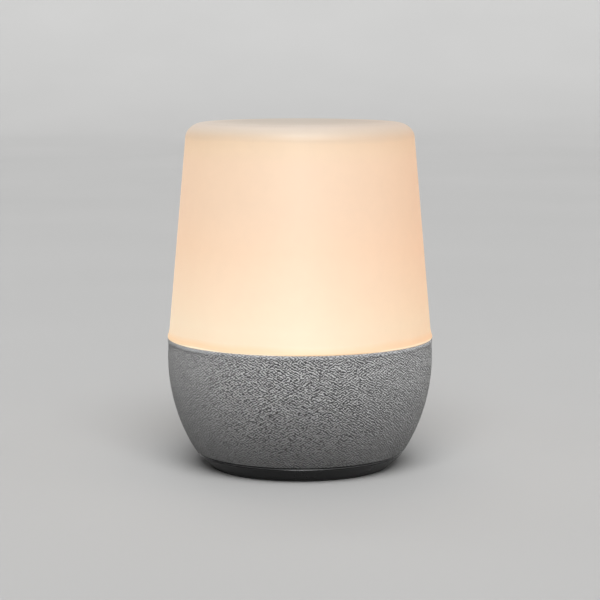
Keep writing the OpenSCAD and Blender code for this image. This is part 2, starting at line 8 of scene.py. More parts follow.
import bmesh
import bpy
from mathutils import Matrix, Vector
from mathutils.geometry import delaunay_2d_cdt


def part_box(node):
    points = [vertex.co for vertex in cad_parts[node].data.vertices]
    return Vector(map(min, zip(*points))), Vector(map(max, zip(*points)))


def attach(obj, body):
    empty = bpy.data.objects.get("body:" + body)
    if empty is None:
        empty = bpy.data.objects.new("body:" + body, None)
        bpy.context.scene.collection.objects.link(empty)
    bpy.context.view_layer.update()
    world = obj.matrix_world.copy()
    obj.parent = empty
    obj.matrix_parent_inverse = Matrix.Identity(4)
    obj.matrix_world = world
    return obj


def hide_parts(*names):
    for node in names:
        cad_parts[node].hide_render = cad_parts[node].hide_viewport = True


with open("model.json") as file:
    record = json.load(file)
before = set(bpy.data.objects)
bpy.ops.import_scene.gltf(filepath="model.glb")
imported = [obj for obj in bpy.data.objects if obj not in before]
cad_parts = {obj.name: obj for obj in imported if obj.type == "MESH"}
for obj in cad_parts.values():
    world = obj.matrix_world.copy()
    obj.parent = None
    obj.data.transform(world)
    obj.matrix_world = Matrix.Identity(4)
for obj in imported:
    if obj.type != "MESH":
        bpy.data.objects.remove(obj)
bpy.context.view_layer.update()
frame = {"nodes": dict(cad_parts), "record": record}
nodes = frame["nodes"]
scene = bpy.context.scene
MM = 0.001


# ---- sizes, in mm
def low(node):
    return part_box(node)[0] / MM


def high(node):
    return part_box(node)[1] / MM


LIP_R = high("shade").x
SEAM = low("shade").z
TOP = high("shade").z
LIP_CURVE = [(-0.3, 0.0), (-0.1, 0.08), (-0.02, 0.24), (0.0, 0.55)]   # from (LIP_R, SEAM)
LIP_STEP = 0.5             # how far the lip stands out from the side
FLARE_H = 4.2              # height over the seam where the lip has run out into the side
SHADE_WALL = 2.4
SHADE_TAPER = 5.1          # degrees
SHADE_CORNER = (8.6, 7.0)  # half axes of the round top edge
CORNER_H = 7.4             # height of the part that the round top edge takes up
SHADE_BOSS = (52.3, 3.1, 1.3, 13.0)   # circle, outer radius, bore and height of the screw bosses

BOWL_R = 59.95             # the bowl is an upright ellipse turned about Z
BOWL_Z = 50.0
BOWL_H = 70.7
WRAP_T = 1.2
WRAP_LOW = low("base_wrap").z - 0.45
WRAP_HIGH = SEAM - 0.06
WRAP_ROLL = 0.25           # how far the wrap's edges turn in
HEM_H = 2.4                # height of the folded upper edge, and how far it stands out
HEM_OUT = 0.4
SEAM_GROOVE = [(0.0, 0.6), (0.25, 0.4), (0.55, 0.1)]   # distance from the rear seam and depth
THREAD_R = 0.2
STITCH_L = 2.0
STITCH_PITCH = 2.7
STITCH_OUT = 1.35          # distance of each row of stitches from the seam
STITCH_RISE = 0.14
STITCH_CLEAR = 1.4         # from the wrap's lower edge and from the window
HEM_CLEAR = 1.6            # from the wrap's upper edge

FOOT_LOW = low("foot_plate").z
FOOT_HIGH = 3.7            # upper face of the plate inside the rim
FOOT_R = 41.4
FOOT_EDGE = 0.35           # radius of the lower edge
FOOT_BELLY = 0.28          # how far the side bulges
FOOT_RECESS = 0.8          # depth of the recess for the pad
FOOT_RIM_Z = 6.9
FOOT_RIM_R = high("foot_plate").x
FOOT_RIM_ROUND = 0.8
FOOT_RIM_W = 2.8
POST_R = 34.0              # circle of the foot's posts, then their radius, bore and lower end
POST_SIZE = (3.4, 1.6)
POST_LOW = 3.4
POST_HIGH = high("foot_plate").z
PAD_IN = 30.0
PAD_OUT = high("foot_pad").x
PAD_HIGH = high("foot_pad").z
PAD_SLACK = 0.1
PAD_ROUND = 0.4
PAD_RIBS = 5
PAD_RIB_H = 0.28

PANEL_W = 44.0
PANEL_H = 27.0
PANEL_CORNER = 8.0
PANEL_Z = 31.0
PANEL_PROUD = 0.3
PANEL_SKIN = 3.7
PANEL_SUNK = 0.3           # how far the panel's body reaches into its flange
PANEL_FLANGE = (6.0, 5.0, 1.2)   # extra width and height of the flange, and its thickness
FLANGE_GAP = 0.12          # how far the flange's openings clear the panel's
BOSS_AT = (19.0, 5.5)      # the button board's bosses, from the panel's middle and the buttons
BOSS_SIZE = (2.2, 1.0)     # radius and bore
BOSS_FACE_Y = 51.5         # the end inside the panel; the board lies against the other end
BOARD_FACE_Y = 44.8

BUTTON_R = 3.8
BUTTON_PITCH = 12.0
BUTTON_Z = PANEL_Z + 6.5
BUTTON_PROUD = 0.5
BUTTON_CAP = 3.0           # depth of the domed cap
BUTTON_BACK = 48.9         # Y of the stem's end
SIGN = 2.1                 # size of the signs on the buttons, and the thickness of their lines
SIGN_LINE = 0.3
POWER_LINE = 0.24
POWER_BAR = (0.95, 1.15)   # height of its middle over the button's, and its length
SLIP = 0.3                 # gap round the buttons and the slider
MIC_X = 17.0
MIC_R = 0.5
PIPE_R = 0.9
PIPE_GAP = 0.05
PIPE_BACK = 45.6
PIPE_DOME = [(0.0, -0.35), (-0.08, -0.15), (-0.35, -0.03), (-PIPE_R, 0.0)]   # from (PIPE_R, face)
PORT_Z = 24.23

AUX_X = -13.0
AUX_R = 1.8
AUX_GAP = 0.2
AUX_NOSE_R = 2.9
AUX_NOSE_Y = 54.2
AUX_BOX = (6.0, 5.0, 37.5, 46.8)   # width, height, back and front of the socket's body
INLET = (8.94, 3.24)
INLET_GAP = 0.43
INLET_Y = (42.0, 48.6, 55.0)       # back, bottom of the mouth and front
INLET_LIP = [(0.0, -0.15), (-0.08, -0.03), (-0.16, 0.0), (-0.24, -0.03), (-0.3, -0.15)]
INLET_WALL = 0.3
TONGUE = (6.7, 0.7, 48.4, 53.0)    # width, height, back and front
CONTACT_SIZE = (0.26, 0.06)
CONTACT_PITCH = 0.5
CONTACT_ROW = 0.36         # distance of each row from the tongue's middle
SLIDER_SIZE = (4.4, 2.6)
SLIDER_X = 11.8
SLIDER_TRAVEL = 2.4
SLIDER_PROUD = 0.7
GRIP_SIZE = (0.4, 1.7)
GRIP_PITCH = 1.0
GRIP_PROUD = 0.25          # over the knob
CARRIER = (9.2, 2.7, 44.6, 45.8)   # width, height, back and front


def bowl(z):
    """Radius of the bowl's face at height z."""
    return BOWL_R * math.sqrt(1.0 - ((z - BOWL_Z) / BOWL_H) ** 2)


def on_back(x, z, out):
    """The point of the bowl's back over (x, z), with the bowl's face moved outwards by out."""
    return (x, math.sqrt((bowl(z) + out) ** 2 - x * x), z)


# ---- mesh helpers
def spread(a, b, n):
    """The ends of n equal steps from a to b."""
    return [a + (b - a) * i / n for i in range(n + 1)]


def full_turn(sides):
    return [2.0 * math.pi * i / sides for i in range(sides)]


def arc(cx, cz, r, a0, a1, n, rz=None):
    """Points on an arc round (cx, cz), from a0 to a1 degrees; 0 is outwards and 90 is up."""
    rz = r if rz is None else rz
    angles = [math.radians(a) for a in spread(a0, a1, n)]
    return [(cx + r * math.cos(a), cz + rz * math.sin(a)) for a in angles]


def bridge(bm, first, second):
    """Faces between two closed loops of vertices. A loop of one vertex is a pole."""
    count = max(len(first), len(second))
    if count == 1:
        return
    for i in range(count):
        j = (i + 1) % count
        if len(first) == 1:
            bm.faces.new((first[0], second[i], second[j]))
        elif len(second) == 1:
            bm.faces.new((first[i], first[j], second[0]))
        else:
            bm.faces.new((first[i], first[j], second[j], second[i]))


def loop_of(bm, points):
    return [bm.verts.new(Vector(p) * MM) for p in points]


def loft(bm, loops, closed=False, caps=False):
    """Joins loops of points one after another; closed also joins the last one to the first."""
    rings = [loop_of(bm, points) for points in loops]
    pairs = list(zip(rings, rings[1:]))
    if closed:
        pairs.append((rings[-1], rings[0]))
    for first, second in pairs:
        bridge(bm, first, second)
    if caps:
        bm.faces.new(rings[0])
        bm.faces.new(rings[-1])


def turned(profile, sides, x=0.0, y=0.0):
    """Loops of a profile of (r, z) points turned about an upright axis."""
    loops = []
    for r, z in profile:
        angles = full_turn(sides if r > 0 else 1)
        loops.append([(x + r * math.cos(a), y + r * math.sin(a), z) for a in angles])
    return loops


def turned_y(profile, sides, x, z):
    """Loops of a profile of (r, y) points turned about the axis along Y through (x, z)."""
    loops = []
    for r, y in profile:
        angles = full_turn(sides if r > 0 else 1)
        loops.append([(x + r * math.cos(a), y, z + r * math.sin(a)) for a in angles])
    return loops


def tube(r, bore, start, end):
    """The profile of a tube, to be turned."""
    return [(r, start), (r, end), (bore, end), (bore, start)]


def four_tubes(bm, circle_r, first_turn, profile):
    """Four upright tubes at equal turns on a circle about the object's axis."""
    for k in range(4):
        a = math.radians(first_turn + 90.0 * k)
        loft(bm, turned(profile, 32, circle_r * math.cos(a), circle_r * math.sin(a)), True)


def finish_mesh(name, bm, slot, body="speaker_body", replaces=(), material=None):
    """Makes the piece, with its slot's finish or another one; hangs it on its body and hides the nodes
    that it stands for.
    """
    bmesh.ops.recalc_face_normals(bm, faces=bm.faces)
    mesh = bpy.data.meshes.new(name)
    bm.to_mesh(mesh)
    bm.free()
    mesh.shade_smooth()
    mesh.set_sharp_from_angle(angle=math.radians(38.0))
    mesh.materials.append(material or MATERIALS[slot])
    piece = bpy.data.objects.new(name, mesh)
    scene.collection.objects.link(piece)
    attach(piece, body)
    for node in replaces:
        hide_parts(node)
    return piece


# ---- outlines on the back
# An outline is a closed list of (x, z, nx, nz): points, each with the direction that leads out of it.
def circle(x, z, r, sides=40):
    ways = [(math.cos(a), math.sin(a)) for a in full_turn(sides)]
    return [(x + r * nx, z + r * nz, nx, nz) for nx, nz in ways]


def rounded(x, z, w, h, r, per_corner=8, step=1.2):
    """A rectangle with round corners about (x, z)."""
    out = []
    for quarter, (sx, sz) in enumerate([(1, 1), (-1, 1), (-1, -1), (1, -1)]):
        cx = x + sx * (w / 2 - r)
        cz = z + sz * (h / 2 - r)
        for a in spread(90.0 * quarter, 90.0 * quarter + 90.0, per_corner):
            nx = math.cos(math.radians(a))
            nz = math.sin(math.radians(a))
            out.append((cx + r * nx, cz + r * nz, nx, nz))
    return subdivided(out, step)


def subdivided(outline, step):
    """Splits an outline's long straight sides, and drops a point that repeats the one before it."""
    out = []
    for a, b in zip(outline, outline[1:] + outline[:1]):
        length = math.hypot(b[0] - a[0], b[1] - a[1])
        if length < 1e-6:
            continue
        pieces = max(1, round(length / step))
        out += [tuple(p + (q - p) * i / pieces for p, q in zip(a, b)) for i in range(pieces)]
    return out


def widened(outline, by):
    """An outline moved outwards by a distance."""
    return [(x + nx * by, z + nz * by, nx, nz) for x, z, nx, nz in outline]


def grown(outline, by):
    """The points of an outline moved outwards by a distance."""
    return [(x, z) for x, z, _, _ in widened(outline, by)]


def inside(point, loop):
    """True if a point (x, z) lies in a closed loop of such points."""
    px, pz = point
    crossings = 0
    for (ax, az), (bx, bz) in zip(loop, loop[1:] + loop[:1]):
        if (az > pz) != (bz > pz) and px < ax + (bx - ax) * (pz - az) / (bz - az):
            crossings += 1
    return crossings % 2 == 1


def clear_of(point, loop, margin):
    """True if a point keeps more than a margin from every point of a loop."""
    return all(math.hypot(point[0] - x, point[1] - z) > margin for x, z in loop)


def triangulate(loops, lattice):
    """Fills the first loop, less the others, with triangles that also use the lattice's points.

    Returns the points, the triangles, and where each of the points given has gone to."""
    points = [p for loop in loops for p in loop] + lattice
    edges = []
    start = 0
    for loop in loops:
        edges += [(start + i, start + (i + 1) % len(loop)) for i in range(len(loop))]
        start += len(loop)
    flat, _, faces, origin, _, _ = delaunay_2d_cdt([Vector(p) for p in points], edges, [], 1, 1e-5)
    centres = [sum((flat[i] for i in face), Vector((0.0, 0.0))) / len(face) for face in faces]
    faces = [face for face, c in zip(faces, centres)
             if inside(c, loops[0]) and not any(inside(c, hole) for hole in loops[1:])]
    place = {}
    for index, sources in enumerate(origin):
        for source in sources:
            place[source] = index
    return flat, faces, place


def plate(bm, outline, holes, proud, depth, rim=0.0, hole_rim=0.0, spacing=1.4):
    """A closed plate that follows the bowl's back, rounded off along its outline and its holes."""
    borders = [(outline, 1.0, rim)] + [(hole, -1.0, hole_rim) for hole in holes]
    loops = [grown(border, -side * round_off) for border, side, round_off in borders]
    xs = [p[0] for p in loops[0]]
    zs = [p[1] for p in loops[0]]
    across = max(2, round((max(xs) - min(xs)) / spacing))
    up = max(2, round((max(zs) - min(zs)) / spacing))
    lattice = []
    for x in spread(min(xs), max(xs), across)[1:-1]:
        for z in spread(min(zs), max(zs), up)[1:-1]:
            point = (x, z)
            if not inside(point, loops[0]) or any(inside(point, hole) for hole in loops[1:]):
                continue
            if all(clear_of(point, loop, spacing * 0.5) for loop in loops):
                lattice.append(point)
    flat, faces, place = triangulate(loops, lattice)
    front = loop_of(bm, [on_back(p.x, p.y, proud) for p in flat])
    back = loop_of(bm, [on_back(p.x, p.y, proud - depth) for p in flat])
    for face in faces:
        bm.faces.new([front[i] for i in face])
        bm.faces.new([back[i] for i in reversed(face)])
    start = 0
    for border, side, round_off in borders:
        span = range(start, start + len(border))
        start += len(border)
        previous = [front[place[i]] for i in span]
        turns = 4 if round_off > 0 else 0
        for k in range(1, turns + 1):
            a = math.radians(90.0 * k / turns)
            points = grown(border, side * round_off * (math.sin(a) - 1.0))
            out = proud - round_off * (1.0 - math.cos(a))
            ring = loop_of(bm, [on_back(x, z, out) for x, z in points])
            bridge(bm, previous, ring)
            previous = ring
        if round_off > 0:
            ring = loop_of(bm, [on_back(x, z, proud - depth) for x, z in grown(border, 0.0)])
            bridge(bm, previous, ring)
            previous = ring
        bridge(bm, previous, [back[place[i]] for i in span])


def stacked(outline, stages):
    """Loops of one outline, each grown by a distance and set at a depth y."""
    return [[(x, y, z) for x, z in grown(outline, by)] for by, y in stages]


def block(bm, outline, back, front):
    """A straight block of one outline between two depths."""
    loft(bm, stacked(outline, [(0.0, back), (0.0, front)]), caps=True)


# ---- node helpers
class Nodes:
    """A material's node tree, with short calls that add and link nodes."""

    def __init__(self, name):
        self.material = bpy.data.materials.new(name)
        self.material.use_nodes = True
        self.tree = self.material.node_tree
        self.tree.nodes.clear()
        self.out = self.add("ShaderNodeOutputMaterial")
        self.place = self.add("ShaderNodeTexCoord").outputs["Object"]

    def add(self, kind, inputs=None, **settings):
        node = self.tree.nodes.new(kind)
        for key, value in settings.items():
            setattr(node, key, value)
        for key, value in (inputs or {}).items():
            self.put(node, key, value)
        return node

    def put(self, node, key, value):
        if isinstance(value, bpy.types.NodeSocket):
            self.tree.links.new(value, node.inputs[key])
        else:
            node.inputs[key].default_value = value

    def math(self, operation, a, b=0.0, clamp=False):
        node = self.add("ShaderNodeMath", {0: a, 1: b}, operation=operation, use_clamp=clamp)
        return node.outputs[0]

    def vector(self, operation, a, b):
        key = "Scale" if operation == "SCALE" else 1
        return self.add("ShaderNodeVectorMath", {0: a, key: b}, operation=operation).outputs[0]

    def mix(self, factor, a, b, blend="MIX"):
        node = self.add("ShaderNodeMix", data_type="RGBA", blend_type=blend)
        self.put(node, 0, factor)
        self.put(node, 6, a)
        self.put(node, 7, b)
        return node.outputs[2]

    def grey(self, value):
        return self.add("ShaderNodeCombineColor", {0: value, 1: value, 2: value}).outputs[0]

    def ramp(self, factor, stops):
        node = self.add("ShaderNodeValToRGB", {0: factor})
        elements = node.color_ramp.elements
        while len(elements) > 1:
            elements.remove(elements[-1])
        elements[0].position = stops[0][0]
        elements[0].color = (*stops[0][1], 1.0)
        for position, colour in stops[1:]:
            element = elements.new(position)
            element.color = (*colour, 1.0)
        return node.outputs["Color"]

    def span(self, value, start, end, to_start=0.0, to_end=1.0):
        """Maps start to end onto to_start to to_end, and holds the ends beyond."""
        inputs = {0: value, 1: start, 2: end, 3: to_start, 4: to_end}
        return self.add("ShaderNodeMapRange", inputs).outputs[0]

    def noise(self, scale, detail=2.0, rough=0.5, vector=None, output="Fac"):
        inputs = {"Vector": vector or self.place, "Scale": scale, "Detail": detail, "Roughness": rough}
        return self.add("ShaderNodeTexNoise", inputs).outputs[output]

    def bump(self, height, strength, distance_mm):
        inputs = {"Height": height, "Strength": strength, "Distance": distance_mm * MM}
        return self.add("ShaderNodeBump", inputs).outputs["Normal"]

    def principled(self, **inputs):
        """Ends the tree in one shader, and returns the material."""
        named = {key.replace("_", " "): value for key, value in inputs.items()}
        shader = self.add("ShaderNodeBsdfPrincipled", named)
        self.tree.links.new(shader.outputs[0], self.out.inputs["Surface"])
        return self.material


# ---- materials
def opal_material():
    """Frosted milk-white plastic, lit from inside: strongest low down, weakest over the touch plate.

    The face over the touch plate is rougher than the rest."""
    n = Nodes("glowing_opal_plastic")
    axes = n.add("ShaderNodeSeparateXYZ", {0: n.place})
    cloud = n.noise(22.0)
    drift = n.span(axes.outputs["Z"], (TOP - 8.0) * MM, (TOP - 2.0) * MM, 0.004, 0.0)
    shift = n.math("MULTIPLY", n.math("SUBTRACT", cloud, 0.5), drift)
    height = n.span(n.math("ADD", axes.outputs["Z"], shift), SEAM * MM, TOP * MM)
    # Height in mm, and the light given off there. The whiter glow at the lip's lowest edge is a painted
    # highlight line, and the whiter glow on the round top edge (153 to 156 mm) is partly a painted
    # highlight
    levels = [
        (58.65, (0.90, 0.72, 0.50)),
        (59.0, (0.74, 0.48, 0.25)),
        (60.2, (0.74, 0.47, 0.24)),
        (62.5, (0.74, 0.55, 0.36)),
        (68.0, (0.73, 0.555, 0.37)),
        (75.0, (0.73, 0.53, 0.345)),
        (84.0, (0.72, 0.50, 0.32)),
        (102.0, (0.70, 0.45, 0.275)),
        (120.0, (0.66, 0.43, 0.27)),
        (139.0, (0.65, 0.425, 0.265)),
        (145.0, (0.63, 0.42, 0.25)),
        (148.4, (0.60, 0.395, 0.23)),
        (151.0, (0.48, 0.32, 0.195)),
        (153.0, (0.41, 0.30, 0.215)),
        (155.0, (0.37, 0.28, 0.225)),
        (156.0, (0.29, 0.225, 0.18)),
        (156.45, (0.21, 0.16, 0.13)),
        (TOP, (0.24, 0.19, 0.155)),
    ]
    glow = n.ramp(height, [((z - SEAM) / (TOP - SEAM), colour) for z, colour in levels])
    # Painted shade: the glow is made darker and warmer towards +X, offsetting the right fill light
    # there
    right_painted_shade = n.span(axes.outputs["X"], 0.0, LIP_R * MM)
    glow = n.mix(right_painted_shade, glow, n.mix(1.0, glow, (0.90, 0.76, 0.64, 1.0), "MULTIPLY"))
    mottle = n.noise(160.0, 3.0, 0.6)
    glow = n.mix(1.0, glow, n.grey(n.span(mottle, 0.3, 0.7, 0.985, 1.015)), "MULTIPLY")
    grain = n.noise(2600.0, 2.0, 0.6)
    body = n.ramp(cloud, [(0.3, (0.245, 0.232, 0.205)), (0.7, (0.255, 0.242, 0.215))])
    touched = n.span(axes.outputs["Z"], (TOP - 0.9) * MM, (TOP - 0.2) * MM, 0.0, 0.4)
    rough = n.math("ADD", n.span(grain, 0.3, 0.7, 0.45, 0.55), touched)
    return n.principled(
        Base_Color=body, Roughness=rough, Specular_IOR_Level=0.45, Normal=n.bump(grain, 0.12, 0.06),
        Emission_Color=glow, Emission_Strength=1.0)


RIDGE_TURN = 30.0          # degrees to the horizontal
RIDGE_PERIOD = 1.02        # mm
RIDGE_WANDER = 13.0        # how far a full step of noise shifts a ridge, in radians of its wave


def ridges(n, across, turn, period_mm, wander):
    """Parallel ridges, turn degrees from the horizontal, pushed about by a wander value."""
    turned_to = n.add("ShaderNodeVectorRotate", {"Vector": across, "Angle": math.radians(turn)},
                      rotation_type="Z_AXIS").outputs[0]
    up = n.add("ShaderNodeSeparateXYZ", {0: turned_to}).outputs["Y"]
    phase = n.math("MULTIPLY", up, 2.0 * math.pi / (period_mm * MM))
    return n.math("SINE", n.math("ADD", phase, n.math("MULTIPLY", wander, RIDGE_WANDER)))


def leather_material():
    """Grey pressed leather: fine wavy ridges that slant both ways and cross, with pits between."""
    n = Nodes("pressed_leather")
    axes = n.add("ShaderNodeSeparateXYZ", {0: n.place})
    up = axes.outputs["Z"]
    backwards = n.math("MULTIPLY", axes.outputs["Y"], -1.0)
    around = n.math("MULTIPLY", n.math("ARCTAN2", axes.outputs["X"], backwards), BOWL_R * MM)
    across = n.add("ShaderNodeCombineXYZ", {0: around, 1: up}).outputs[0]
    wander = n.add("ShaderNodeSeparateColor", {0: n.noise(520.0, 2.0, 0.5, across, "Color")})
    patches = n.add("ShaderNodeSeparateColor", {0: n.noise(330.0, 2.0, 0.6, across, "Color")})
    crossed = []
    for k, turn in enumerate((-RIDGE_TURN, RIDGE_TURN)):
        wave = ridges(n, across, turn, RIDGE_PERIOD, wander.outputs[k])
        crossed.append(n.math("MULTIPLY", wave, n.span(patches.outputs[k], 0.35, 0.65, 0.1, 0.6)))
    pits = n.span(n.noise(1050.0, 3.0, 0.7), 0.28, 0.72)
    height = n.math("ADD", n.math("ADD", crossed[0], crossed[1]), pits)

    # Colour follows the relief: dark creases and pale crests, partly the grain's own tone and partly
    # painted shade in the creases and painted light on the crests, made stronger low down where the
    # lamps bring the relief out less
    painted_relief_boost = n.span(up, WRAP_LOW * MM, 45.0 * MM, 3.6, 1.0)
    relief_tone_and_shade = n.math("ADD", n.math("MULTIPLY", n.math("SUBTRACT", height, 0.5), painted_relief_boost), 0.5, True)
    tone = n.ramp(relief_tone_and_shade, [
        (0.2, (0.02, 0.02, 0.0205)),
        (0.5, (0.18, 0.18, 0.181)),
        (0.8, (0.55, 0.55, 0.546)),
    ])
    broad = n.noise(60.0)
    tone = n.mix(n.span(broad, 0.35, 0.65, 0.0, 0.15), tone, (0.24, 0.24, 0.242, 1.0))

    # The folded edge is pale, partly scuffed and partly painted light from above and from the shade's
    # glowing lip; the skin is painted darker towards the foot as painted shade, and is darker beside
    # the seam
    edge = n.span(up, (WRAP_HIGH - 1.9) * MM, (WRAP_HIGH - 0.5) * MM)
    # Pale folded edge: partly scuffed, partly a painted highlight of light from above and from the
    # shade's lip
    rubbed_and_painted_light = n.math("MULTIPLY", edge, n.span(height, 0.0, 1.0, 0.35, 0.75))
    tone = n.mix(rubbed_and_painted_light, tone, (0.50, 0.51, 0.53, 1.0))
    # Painted shade: the skin is darker towards the foot, where less light reaches it
    darker = n.span(up, WRAP_LOW * MM, 50.0 * MM, 0.19, 1.0)
    tone = n.mix(1.0, tone, n.grey(darker), "MULTIPLY")
    # Darker beside the rear seam
    beside_seam = n.math("SUBTRACT", math.pi * BOWL_R * MM, n.math("ABSOLUTE", around))
    darker_beside_seam = n.span(beside_seam, 0.25 * MM, 0.8 * MM, 0.35, 1.0)
    tone = n.mix(1.0, tone, n.grey(darker_beside_seam), "MULTIPLY")

    relief = n.math("MULTIPLY", height, n.span(edge, 0.0, 1.0, 1.0, 0.8))
    return n.principled(
        Base_Color=tone, Roughness=n.span(relief_tone_and_shade, 0.0, 1.0, 0.75, 0.5), Normal=n.bump(relief, 1.0, 0.4),
        Specular_IOR_Level=0.3, Sheen_Weight=0.4, Sheen_Roughness=0.5)


def satin_black(name, dark, light, specular):
    """Black satin plastic with faint smears."""
    n = Nodes(name)
    grain = n.noise(1800.0, 3.0, 0.6)
    smear = n.noise(40.0, 3.0, 0.6)
    rough = n.math("ADD", n.span(smear, 0.3, 0.7, 0.18, 0.27), n.math("MULTIPLY", grain, 0.06))
    return n.principled(
        Base_Color=n.ramp(smear, [(0.3, dark), (0.7, light)]), Roughness=rough,
        Normal=n.bump(grain, 0.2, 0.03), Specular_IOR_Level=specular)


def plastic(name, dark, light, rough, scale=900.0, depth=0.05, strength=0.35):
    """Moulded plastic or rubber: a fine sparked grain, and a slow drift of colour."""
    n = Nodes(name)
    grain = n.noise(scale, 3.0, 0.6)
    tone = n.ramp(n.noise(55.0), [(0.3, dark), (0.7, light)])
    return n.principled(
        Base_Color=tone, Roughness=n.span(grain, 0.3, 0.7, rough - 0.07, rough + 0.07),
        Normal=n.bump(grain, strength, depth))


def metal(name, dark, light, rough, stretch=(1.0, 1.0, 1.0)):
    """Plated or rolled metal, with its grain drawn out along one axis where stretch says so."""
    n = Nodes(name)
    grain = n.noise(1200.0, 3.0, 0.6, n.vector("MULTIPLY", n.place, stretch))
    tone = n.ramp(n.noise(90.0), [(0.3, dark), (0.7, light)])
    return n.principled(
        Base_Color=tone, Roughness=n.span(grain, 0.3, 0.7, rough - 0.08, rough + 0.08), Metallic=1.0,
        Normal=n.bump(grain, 0.2, 0.02))


def woven(name, dark, light, scale):
    """Treated cloth: two crossed sets of threads."""
    n = Nodes(name)
    axes = n.add("ShaderNodeSeparateXYZ", {0: n.place})
    threads = [n.math("SINE", n.math("MULTIPLY", axes.outputs[k], scale)) for k in (0, 1)]
    weave = n.span(n.math("MULTIPLY", threads[0], threads[1]), -1.0, 1.0)
    fuzz = n.noise(2400.0, 3.0, 0.6)
    height = n.math("ADD", weave, n.math("MULTIPLY", fuzz, 0.5))
    return n.principled(
        Base_Color=n.ramp(height, [(0.1, dark), (1.2, light)]),
        Roughness=n.span(fuzz, 0.3, 0.7, 0.75, 0.95), Normal=n.bump(height, 0.5, 0.1))


def fibrous(name, dark, light, scale=700.0):
    """Pressed paper pulp or foam: soft random fibres and pores."""
    n = Nodes(name)
    fibres = n.noise(scale, 5.0, 0.7, n.vector("MULTIPLY", n.place, (1.0, 1.0, 0.4)))
    pores = n.add("ShaderNodeTexVoronoi", {"Vector": n.place, "Scale": scale}, feature="F1")
    height = n.math("ADD", fibres, n.math("MULTIPLY", pores.outputs["Distance"], 0.4))
    return n.principled(
        Base_Color=n.ramp(height, [(0.3, dark), (0.9, light)]),
        Roughness=n.span(fibres, 0.3, 0.7, 0.8, 0.97), Normal=n.bump(height, 0.5, 0.12))


def board(name, dark, light):
    """Lacquered circuit board: copper tracks show as faint raised squares under the lacquer."""
    n = Nodes(name)
    cells = n.add("ShaderNodeTexVoronoi", {"Vector": n.place, "Scale": 380.0, "Randomness": 0.35},
                  distance="CHEBYCHEV", feature="F1")
    track = n.span(cells.outputs["Distance"], 0.28, 0.36)
    grain = n.noise(1500.0, 3.0, 0.6)
    return n.principled(
        Base_Color=n.mix(track, (*dark, 1.0), (*light, 1.0)),
        Roughness=n.span(grain, 0.3, 0.7, 0.28, 0.42), Normal=n.bump(track, 0.25, 0.05))


def lit(name, colour, strength):
    """A small lit part: phosphor or a light pipe's end."""
    n = Nodes(name)
    grain = n.noise(900.0, 3.0, 0.6)
    glow = n.mix(1.0, (*colour, 1.0), n.grey(n.span(grain, 0.3, 0.7, 0.85, 1.0)), "MULTIPLY")
    tone = n.ramp(grain, [(0.3, (0.62, 0.58, 0.45)), (0.7, (0.72, 0.68, 0.55))])
    return n.principled(
        Base_Color=tone, Roughness=n.span(grain, 0.3, 0.7, 0.3, 0.45), Normal=n.bump(grain, 0.2, 0.03),
        Emission_Color=glow, Emission_Strength=strength)


# One finish for each material slot of the record: name, darker tone, lighter tone, roughness and so on
MATERIALS = {
    "shade_plastic": opal_material(),
    "leather_wrap": leather_material(),
    "foot_plastic": satin_black(
        "satin_black_plastic", (0.004, 0.004, 0.0044), (0.008, 0.008, 0.0085), 0.2),
    "panel_plastic": plastic("panel_black", (0.011, 0.011, 0.0115), (0.017, 0.017, 0.0175), 0.46),
    "button_plastic": plastic("button_black", (0.018, 0.018, 0.019), (0.026, 0.026, 0.027), 0.38),
    "mute_plastic": plastic("slider_orange", (0.62, 0.10, 0.012), (0.70, 0.13, 0.018), 0.42),
    "shell_plastic": plastic("shell_grey", (0.42, 0.42, 0.42), (0.48, 0.48, 0.48), 0.5),
    "white_plastic": plastic("reflector_white", (0.78, 0.78, 0.77), (0.85, 0.85, 0.84), 0.45),
    "black_plastic": plastic("inner_black", (0.016, 0.016, 0.017), (0.024, 0.024, 0.025), 0.5),
    "rubber": plastic("black_rubber", (0.014, 0.014, 0.014), (0.022, 0.022, 0.022), 0.78, 500.0, 0.12),
    "foam": fibrous("black_foam", (0.01, 0.01, 0.01), (0.05, 0.05, 0.05), 900.0),
    "steel": metal("zinc_steel", (0.56, 0.57, 0.58), (0.68, 0.69, 0.70), 0.32, (1.0, 1.0, 0.2)),
    "copper": metal("copper", (0.72, 0.38, 0.26), (0.82, 0.46, 0.32), 0.3, (1.0, 0.2, 1.0)),
    "gold_metal": metal("gold_plate", (0.80, 0.58, 0.24), (0.90, 0.68, 0.32), 0.24),
    "aluminium": metal(
        "brushed_aluminium", (0.74, 0.75, 0.76), (0.84, 0.85, 0.86), 0.34, (0.1, 1.0, 1.0)),
    "ferrite": plastic("ferrite", (0.035, 0.034, 0.034), (0.055, 0.053, 0.052), 0.62, 600.0, 0.08),
    "paper": fibrous("cone_paper", (0.012, 0.012, 0.012), (0.05, 0.048, 0.045)),
    "spider_cloth": woven("spider_cloth", (0.30, 0.20, 0.08), (0.52, 0.38, 0.18), 6000.0),
    "white_board": board("white_board", (0.70, 0.70, 0.68), (0.80, 0.80, 0.78)),
    "green_board": board("green_board", (0.010, 0.075, 0.028), (0.018, 0.12, 0.045)),
    "led_phosphor": lit("led_phosphor", (1.0, 0.80, 0.50), 2.0),
    "clear_plastic": lit("light_pipe", (0.80, 0.92, 1.0), 0.35),
    "chip_epoxy": plastic("chip_epoxy", (0.012, 0.012, 0.013), (0.02, 0.02, 0.021), 0.55, 1400.0, 0.03),
    "cell_wrap": plastic("cell_wrap", (0.03, 0.12, 0.34), (0.04, 0.15, 0.42), 0.3, 300.0, 0.02),
    "cable_pvc": plastic("lead_pvc", (0.40, 0.02, 0.018), (0.50, 0.03, 0.025), 0.4, 700.0, 0.03),
    "capacitor_sleeve": plastic("capacitor_sleeve", (0.02, 0.025, 0.05), (0.03, 0.035, 0.07), 0.35),
}


